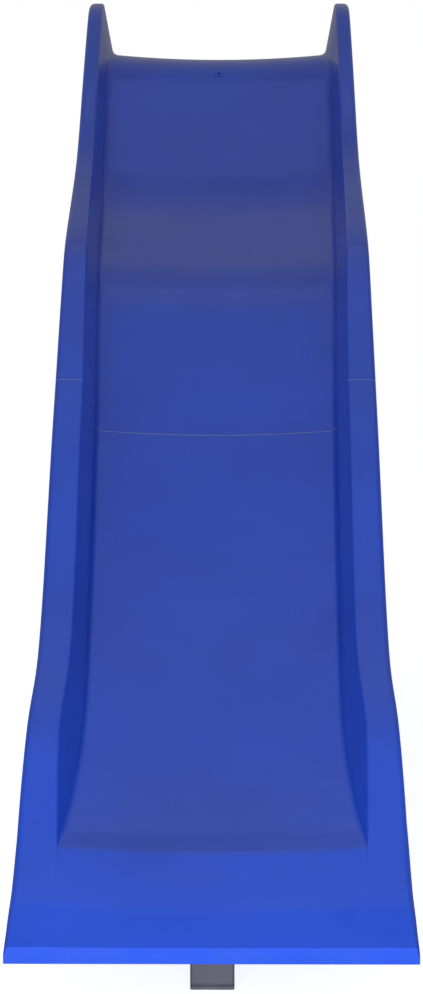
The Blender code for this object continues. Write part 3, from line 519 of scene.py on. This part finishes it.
def half_section(h, height, wall=0.0):
    """The outline from the bed's centre to the rim, moved in by wall: (x, height above the bed)."""
    bed = eased(BED_HALF, h, reach_at(h))
    inner = eased(RAIL_INNER_HALF, h, reach_at(h))
    outer = eased(OUTER_HALF, h, reach_at(h))
    depth = eased(SKIRT_DEPTH, h, reach_at(h))
    dish = value(DISH, h)
    foot = height - depth
    skirt = outer + DRAFT * min(1.0, depth / 0.15)
    rim = min(RIM_HEIGHT, 0.6 * depth)
    spine = [(bed * f, dish * f * f) for f in BED_FRACTIONS]
    spine += [(bed, dish), (inner, height), (outer, height), (skirt, foot + rim),
              (skirt + RIM_FLARE, foot + rim - 0.003), (skirt + RIM_FLARE, foot)]
    spine = [Vector(p) for p in spine]
    if wall:
        spine = inset(spine, wall)
    bend = len(BED_FRACTIONS)
    points = spine[:bend]
    points += fillet(*spine[bend - 1:bend + 2], BED_FILLET + wall, BED_FILLET_POINTS)
    points += fillet(*spine[bend:bend + 3], max(INNER_FILLET - wall, 0.001), RAIL_FILLET_POINTS)
    points += fillet(*spine[bend + 1:bend + 4], max(OUTER_FILLET - wall, 0.001), RAIL_FILLET_POINTS)
    return points + spine[bend + 3:]


def section_line(h, cavity):
    """The moulding's outline at station h from the left rim to the right one, outside or inside."""
    tilt = radians(eased(TILT_DEG, h, 0.03))
    up = (-sin(tilt), cos(tilt))
    height = rail_height(h, up)
    half = half_section(h, height, WALL if cavity else 0.0)
    outline = [Vector((-p.x, p.y)) for p in reversed(half[1:])] + half
    top_z = rail_z(h)
    return [at(p.x, h - (height - p.y) * up[0], top_z - (height - p.y) * up[1]) for p in outline]


def shell(stations, inner_stations):
    """The moulding: an outer and an inner skin joined along both rims, with a flat bulkhead at each end."""
    bm = bmesh.new()
    outer = [[bm.verts.new(p) for p in section_line(h, False)] for h in stations]
    inner = [[bm.verts.new(p) for p in section_line(h, True)] for h in inner_stations]
    last = len(outer[0]) - 1
    for k in range(len(outer) - 1):
        for i in range(last):
            bm.faces.new((outer[k][i], outer[k][i + 1], outer[k + 1][i + 1], outer[k + 1][i]))
            bm.faces.new((inner[k][i + 1], inner[k][i], inner[k + 1][i], inner[k + 1][i + 1]))
        for i in (0, last):
            bm.faces.new((outer[k][i], outer[k + 1][i], inner[k + 1][i], inner[k][i]))
    for k in (0, -1):
        bm.faces.new(outer[k])
        bm.faces.new(inner[k])
        bm.faces.new((outer[k][0], outer[k][last], inner[k][last], inner[k][0]))
    bmesh.ops.triangulate(bm, faces=[f for f in bm.faces if len(f.verts) == 4])
    return from_bmesh(bm, "shell")


# ---- Flume pieces ---------------------------------------------------------------------------------
SEAM_UP = Vector((0, -sin(SEAM_TILT), cos(SEAM_TILT)))
SEAM_ALONG = Vector((0, cos(SEAM_TILT), sin(SEAM_TILT)))
SEAM_STEP = SEAM_GAP / 2 * cos(SEAM_TILT)


def support_frame(h, x, depth):
    """A point on the flat plane that lies under the bed's centre line by depth, with the plane's normal."""
    centre, normal = bed_frame(h, 0, depth)
    return centre + Vector((x, 0, 0)), normal


def seam_bolt_points():
    """Two bolts under the bed and one up in each rail, on the seam plane."""
    top = at(0, SEAM, rail_z(SEAM))
    height = rail_height(SEAM, (SEAM_UP.y, SEAM_UP.z))
    under_bed = top - SEAM_UP * (height + SEAM_BOLT_BED_DROP)
    in_rail = top - SEAM_UP * SEAM_BOLT_RAIL_DROP
    return [p + Vector((x, 0, 0)) for p, x in
            ((in_rail, -SEAM_BOLT_RAIL_X), (under_bed, -SEAM_BOLT_BED_X),
             (under_bed, SEAM_BOLT_BED_X), (in_rail, SEAM_BOLT_RAIL_X))]


def drill(body, location, axis, radius=HOLE_R, length=THROUGH):
    combine(body, rod(radius, length, location, axis), "DIFFERENCE")


def drill_seam(body):
    for point in seam_bolt_points():
        drill(body, point, SEAM_ALONG)


def steps(start, end, spacing):
    """Evenly spaced stations from start to end, close to spacing apart."""
    count = max(1, round((end - start) / spacing))
    return [start + (end - start) * i / count for i in range(count + 1)]


def add_boss(body, h, x, depth):
    """A moulded boss under the bed that ends at depth, with its blind hole."""
    top, _ = bed_frame(h, x, BOSS_SINK)
    bottom, normal = support_frame(h, x, depth)
    combine(body, rod(BOSS_R, (top - bottom).length, (top + bottom) / 2, normal), "UNION")
    drill(body, bottom, normal, length=2 * (depth - WALL - THREAD_COVER))


def lower_flume():
    end = SEAM - SEAM_STEP
    run = steps(RUN_OUT, end, LOOK_STEP)
    stations = LIP_STATIONS + steps(RUN_OUT_STEP, RUN_OUT, RUN_OUT_STEP) + run[1:]
    inside = INNER_LIP_STATIONS + steps(0.010, RUN_OUT, RUN_OUT_STEP) + run[1:-1]
    body = shell(stations, inside + [end - BULKHEAD * cos(SEAM_TILT)])
    for x in (-SADDLE_BOLT_X, SADDLE_BOLT_X):
        add_boss(body, POST_H, x, SADDLE_DEPTH)
    drill_seam(body)
    return piece("flume_lower_skin", baked(body), BLUE, "flume_lower")


def upper_flume():
    start = SEAM + SEAM_STEP
    stations = steps(start, TOP_END, LOOK_STEP)
    inside = [start + BULKHEAD * cos(SEAM_TILT)] + stations[1:-1] + [TOP_END - BULKHEAD]
    body = shell(stations, inside)
    for x in (-MID_BOLT_X, MID_BOLT_X):
        add_boss(body, MID_H, x, MID_DEPTH)
    for x, z in HEAD_BOLTS:
        insert = at(x, TOP_END - INSERT_LENGTH / 2 - 0.001, z)
        combine(body, rod(INSERT_R, INSERT_LENGTH, insert, (0, 1, 0)), "UNION")
        drill(body, at(x, TOP_END, z), (0, 1, 0), length=1.5 * INSERT_LENGTH)
    drill_seam(body)
    spot, normal = bed_frame(NOZZLE_H, 0, 0)
    drill(body, spot, normal, NOZZLE_HOLE_R)
    return piece("flume_upper_skin", baked(body), BLUE, "flume_upper")


def seam_strip():
    """The gasket that shows as a thin line between the sections."""
    thickness = SEAM_GAP - STRIP_CLEARANCE
    height = rail_height(SEAM, (SEAM_UP.y, SEAM_UP.z))
    outline = half_section(SEAM, height, STRIP_INSET)
    ring = [Vector((-p.x, p.y)) for p in reversed(outline[1:])] + outline
    top = at(0, SEAM, rail_z(SEAM))
    bm = bmesh.new()
    start = top - SEAM_ALONG * thickness / 2
    verts = [bm.verts.new(start - SEAM_UP * (height - p.y) + Vector((p.x, 0, 0))) for p in ring]
    extruded = bmesh.ops.extrude_face_region(bm, geom=[bm.faces.new(verts)])
    moved = [v for v in extruded["geom"] if isinstance(v, bmesh.types.BMVert)]
    bmesh.ops.translate(bm, vec=SEAM_ALONG * thickness, verts=moved)
    body = from_bmesh(bm, "strip")
    drill_seam(body)
    return piece("seam_strip", baked(body), SEAL, "seam_seal")


# ---- Fasteners, welds and tread grips -------------------------------------------------------------

def hex_point(k, limit, z):
    """Point k round a hexagon whose corners are turned off at radius limit."""
    angle = 2 * pi * k / HEX_POINTS
    reach = min(HEX_R * cos(pi / 6) / cos(angle % (pi / 3) - pi / 6), limit)
    return (reach * cos(angle), reach * sin(angle), z)


def circle(radius, z, count=HEX_POINTS):
    angles = [2 * pi * k / count for k in range(count)]
    return [(radius * cos(angle), radius * sin(angle), z) for angle in angles]


def add_rings(bm, rings, closed=False):
    """Skin a stack of rings of points; its two ends are capped, or joined when it is closed."""
    rows = [[bm.verts.new(p) for p in ring] for ring in rings]
    if closed:
        rows.append(rows[0])
    count = len(rows[0])
    for lower, upper in zip(rows, rows[1:]):
        for k in range(count):
            bm.faces.new((lower[k], lower[(k + 1) % count], upper[(k + 1) % count], upper[k]))
    if not closed:
        bm.faces.new(rows[0][::-1])
        bm.faces.new(rows[-1])


def fine_bolt(length):
    """A flanged hex bolt with its head up, its seat at z = 0 and threads down its shank."""
    bm = bmesh.new()
    head = ((HEX_R, FLANGE_T / 2), (HEX_R, HEAD_TOP - 0.0010), (0.93 * HEX_R, HEAD_TOP - 0.0003),
            (HEAD_TURNED, HEAD_TOP))
    add_rings(bm, [[hex_point(k, limit, z) for k in range(HEX_POINTS)] for limit, z in head])
    flange = ((FLANGE_R - 0.0004, 0.0), (FLANGE_R, 0.0003), (FLANGE_R, 0.0009), (HEX_R, FLANGE_T))
    add_rings(bm, [circle(radius, z) for radius, z in flange])
    shank = [(BOLT_R - 0.0010, -length)]
    for turn in range(int((length - 0.002) / THREAD_PITCH)):
        z = -length + 0.0006 + turn * THREAD_PITCH
        shank += [(BOLT_R - THREAD_DEPTH, z), (BOLT_R, z + THREAD_PITCH / 2)]
    shank.append((BOLT_R, 0.0003))
    add_rings(bm, [circle(radius, z, SHANK_SIDES) for radius, z in shank])
    return bm


def fine_nut(height):
    """A hex nut chamfered at both faces, with its top at z = 0 and a bored middle."""
    bm = bmesh.new()
    outside = ((HEAD_TURNED, -height), (HEX_R, 0.0007 - height), (HEX_R, -0.0007), (HEAD_TURNED, 0.0))
    rings = [[hex_point(k, limit, z) for k in range(HEX_POINTS)] for limit, z in outside]
    core = HOLE_R - 0.0004
    bore = ((HOLE_R, 0.0), (core, -0.0006), (core, 0.0006 - height), (HOLE_R, -height))
    add_rings(bm, rings + [circle(radius, z) for radius, z in bore], closed=True)
    return bm


def refine(name, axis, make, rise):
    """Replace a CAD fastener with a fine one, its Z against axis and its origin rise below its top end."""
    node = frame["nodes"][name]
    turn = Vector((0, 0, 1)).rotation_difference(-Vector(axis)).to_matrix()
    local = [turn.transposed() @ (node.matrix_world @ v.co) for v in node.data.vertices]
    low = Vector([min(p[i] for p in local) for i in range(3)])
    high = Vector([max(p[i] for p in local) for i in range(3)])
    seat = turn @ Vector(((low.x + high.x) / 2, (low.y + high.y) / 2, high.z - rise))
    body = from_bmesh(make(high.z - rise - low.z), name + "_body")
    body.matrix_world = Matrix.Translation(seat) @ turn.to_4x4()
    piece(name + "_fine", baked(body), ZINC, name)


def fasteners():
    across = {"left": (1, 0, 0), "right": (-1, 0, 0)}
    forwards = (0, -1, 0)
    bolts = {"front_leg_bolt": (1, 0, 0)}
    for number in (1, 2, 3, 4):
        bolts[f"seam_bolt_{number}"] = -SEAM_ALONG
        bolts[f"head_bolt_{number}"] = forwards
        for side, axis in across.items():
            bolts[f"tread_{number}_bolt_{side}"] = axis
    for side, axis in across.items():
        bolts[f"tie_bolt_{side}"] = axis
        bolts[f"saddle_bolt_{side}"] = bed_frame(POST_H, 0, 0)[1]
        bolts[f"mid_bolt_{side}"] = bed_frame(MID_H, 0, 0)[1]
        for place_name in ("inner", "outer"):
            bolts[f"stringer_bolt_{place_name}_{side}"] = forwards
    for name, axis in bolts.items():
        refine(name, axis, fine_bolt, HEAD_TOP)
    for number in (1, 2, 3, 4):
        refine(f"seam_nut_{number}", SEAM_ALONG, fine_nut, 0)
    refine("front_leg_nut", (1, 0, 0), fine_nut, 0)


def weld_path(half_width, half_depth):
    """A rectangle with rounded corners, followed once round."""
    path = []
    for side_x, side_y, start in ((1, 1, 0), (-1, 1, 90), (-1, -1, 180), (1, -1, 270)):
        corner_x = side_x * (half_width - BEAD_CORNER)
        corner_y = side_y * (half_depth - BEAD_CORNER)
        for degrees in range(start, start + 91, 15):
            angle = radians(degrees)
            path.append(Vector((corner_x + BEAD_CORNER * cos(angle), corner_y + BEAD_CORNER * sin(angle), 0)))
    return path


def weld(name, centre, half_width, half_depth):
    """A rippled weld bead round the foot of a box-section tube."""
    path = weld_path(half_width, half_depth)
    angles = [2 * pi * k / BEAD_SIDES for k in range(BEAD_SIDES)]
    rings = []
    for first, second in zip(path, path[1:] + path[:1]):
        count = max(1, round((second - first).length / BEAD_STEP))
        along = (second - first).normalized()
        outwards = Vector((along.y, -along.x, 0))
        for i in range(count):
            spot = centre + first.lerp(second, i / count)
            radius = BEAD_R * (1 + BEAD_SWELL * abs(sin(pi * len(rings) / BEAD_RIPPLE)))
            rings.append([spot + (outwards * cos(a) + Vector((0, 0, 1)) * sin(a)) * radius for a in angles])
    bm = bmesh.new()
    add_rings(bm, rings, closed=True)
    extra(name, baked(from_bmesh(bm, name)), FRAME_GREY)


def welds():
    head_h, head_z = STRINGER_HEAD
    lean = (STRINGER_FOOT_H - head_h) / (head_z - TUBE_FLOOR)
    ladder_h = STRINGER_FOOT_H - lean * (BASE_T - TUBE_FLOOR)
    for side, sign in (("left", -1), ("right", 1)):
        weld(f"mid_leg_weld_{side}", at(sign * LEG_X, MID_H + MID_SHIFT, BASE_T), LEG / 2, LEG / 2)
        weld(f"ladder_weld_{side}", at(sign * STRINGER_X, ladder_h, BASE_T), STRINGER_W / 2,
             STRINGER_D / 2 / cos(atan(lean)))


def tread_grips():
    """Raised ribs along the top of each tread."""
    angles = [2 * pi * k / GRIP_SIDES for k in range(GRIP_SIDES)]
    for number in (1, 2, 3, 4):
        node = frame["nodes"][f"tread_{number}"]
        points = [node.matrix_world @ v.co for v in node.data.vertices]
        top = max(p.z for p in points) - GRIP_SINK
        middle = (max(p.y for p in points) + min(p.y for p in points)) / 2
        length = max(p.x for p in points) * 2 - 2 * GRIP_END
        stations = [-length / 2 + length * i / GRIP_STATIONS for i in range(GRIP_STATIONS + 1)]
        radii = [GRIP_TIP_R] + [GRIP_R] * (GRIP_STATIONS - 1) + [GRIP_TIP_R]
        bm = bmesh.new()
        for row in range(-GRIP_ROWS, GRIP_ROWS + 1):
            y = middle + row * GRIP_SPACING
            add_rings(bm, [[(x, y + r * cos(a), top + GRIP_FLATNESS * r * sin(a)) for a in angles]
                           for x, r in zip(stations, radii)])
        name = f"tread_{number}_grip"
        extra(name, baked(from_bmesh(bm, name)), TREAD_GREY)


def finish_node(node):
    """A CAD solid that stays in view: small bevels, so that its edges catch light, and its material."""
    edges = node.modifiers.new("edges", "BEVEL")
    edges.width = EDGE_BEVEL
    edges.segments = 2
    edges.limit_method = "ANGLE"
    edges.angle_limit = BEVEL_ANGLE
    record_slot = next(s["material_slot"] for s in frame["record"]["subparts"] if s["node"] == node.name)
    for material_slot in node.material_slots:
        material_slot.material = NODE_LOOKS[record_slot]


# ---- Stage ----------------------------------------------------------------------------------------
def floor():
    bm = bmesh.new()
    bmesh.ops.create_circle(bm, cap_ends=True, segments=64, radius=FLOOR_RADIUS)
    obj = from_bmesh(bm, "floor")
    n = Nodes("floor")
    drift = n.ramp(n.noise(0.8, 2.0), 0.0, 1.0, 0.3, 0.7)
    tone = n.mix(drift, rgba(0.88, 0.88, 0.88), rgba(0.90, 0.90, 0.90))
    n.surface(tone, 0.9, Emission_Color=rgba(1, 1, 1), Emission_Strength=FLOOR_GLOW,
              Specular_IOR_Level=0.0)
    obj.data.materials.append(n.material)
    obj.visible_glossy = False


def area_light(name, location, target, size, power):
    data = bpy.data.lights.new(name, "AREA")
    data.shape = "RECTANGLE"
    data.size, data.size_y = size
    data.energy = power
    obj = bpy.data.objects.new(name, data)
    obj.location = location
    obj.rotation_euler = (Vector(target) - Vector(location)).to_track_quat("-Z", "Y").to_euler()
    bpy.context.scene.collection.objects.link(obj)


def sky():
    """A pale studio: white where the lens looks past the object, softer greys in what it reflects."""
    world = bpy.data.worlds.new("studio")
    bpy.context.scene.world = world
    world.use_nodes = True
    tree = world.node_tree
    tree.nodes.clear()
    coords = tree.nodes.new("ShaderNodeTexCoord")
    split = tree.nodes.new("ShaderNodeSeparateXYZ")
    tree.links.new(coords.outputs["Generated"], split.inputs[0])

    def squared(direction):
        ahead = math_node(tree, "MAXIMUM", direction, 0.0)
        return math_node(tree, "MULTIPLY", ahead, ahead)

    up = math_node(tree, "MAXIMUM", split.outputs["Z"], 0.0)
    front = squared(math_node(tree, "MULTIPLY", split.outputs["Y"], -1.0))
    back = squared(split.outputs["Y"])
    level = math_node(tree, "MULTIPLY", up, SKY_TOP)
    level = math_node(tree, "ADD", level, math_node(tree, "MULTIPLY", front, SKY_FRONT))
    level = math_node(tree, "ADD", level, math_node(tree, "MULTIPLY", back, SKY_BACK))
    soft = tree.nodes.new("ShaderNodeBackground")
    soft.inputs["Color"].default_value = rgba(1, 1, 1)
    tree.links.new(level, soft.inputs["Strength"])
    clear = tree.nodes.new("ShaderNodeBackground")
    clear.inputs["Color"].default_value = rgba(1, 1, 1)
    clear.inputs["Strength"].default_value = 1.0
    path = tree.nodes.new("ShaderNodeLightPath")
    pick = tree.nodes.new("ShaderNodeMixShader")
    tree.links.new(path.outputs["Is Camera Ray"], pick.inputs[0])
    tree.links.new(soft.outputs[0], pick.inputs[1])
    tree.links.new(clear.outputs[0], pick.inputs[2])
    out = tree.nodes.new("ShaderNodeOutputWorld")
    tree.links.new(pick.outputs[0], out.inputs["Surface"])


def camera():
    data = bpy.data.cameras.new("camera")
    data.lens = FOCAL_PIXELS / LONG_SIDE * SENSOR
    data.sensor_width = SENSOR
    data.clip_end = 200
    obj = bpy.data.objects.new("camera", data)
    obj.location = (CAMERA_X, LIP_Y - CAMERA_DISTANCE, CAMERA_HEIGHT)
    obj.rotation_euler = (pi / 2 - CAMERA_PITCH, 0, atan(CAMERA_X / CAMERA_DISTANCE))
    bpy.context.scene.collection.objects.link(obj)
    bpy.context.scene.camera = obj


# ---- Scene ----------------------------------------------------------------------------------------
lower_flume()
upper_flume()
seam_strip()
fasteners()
welds()
tread_grips()
for node in frame["nodes"].values():
    if not node.hide_render:
        finish_node(node)

floor()
sky()
for light in LIGHTS:
    area_light(*light)
camera()
bpy.context.scene.view_settings.view_transform = "Standard"
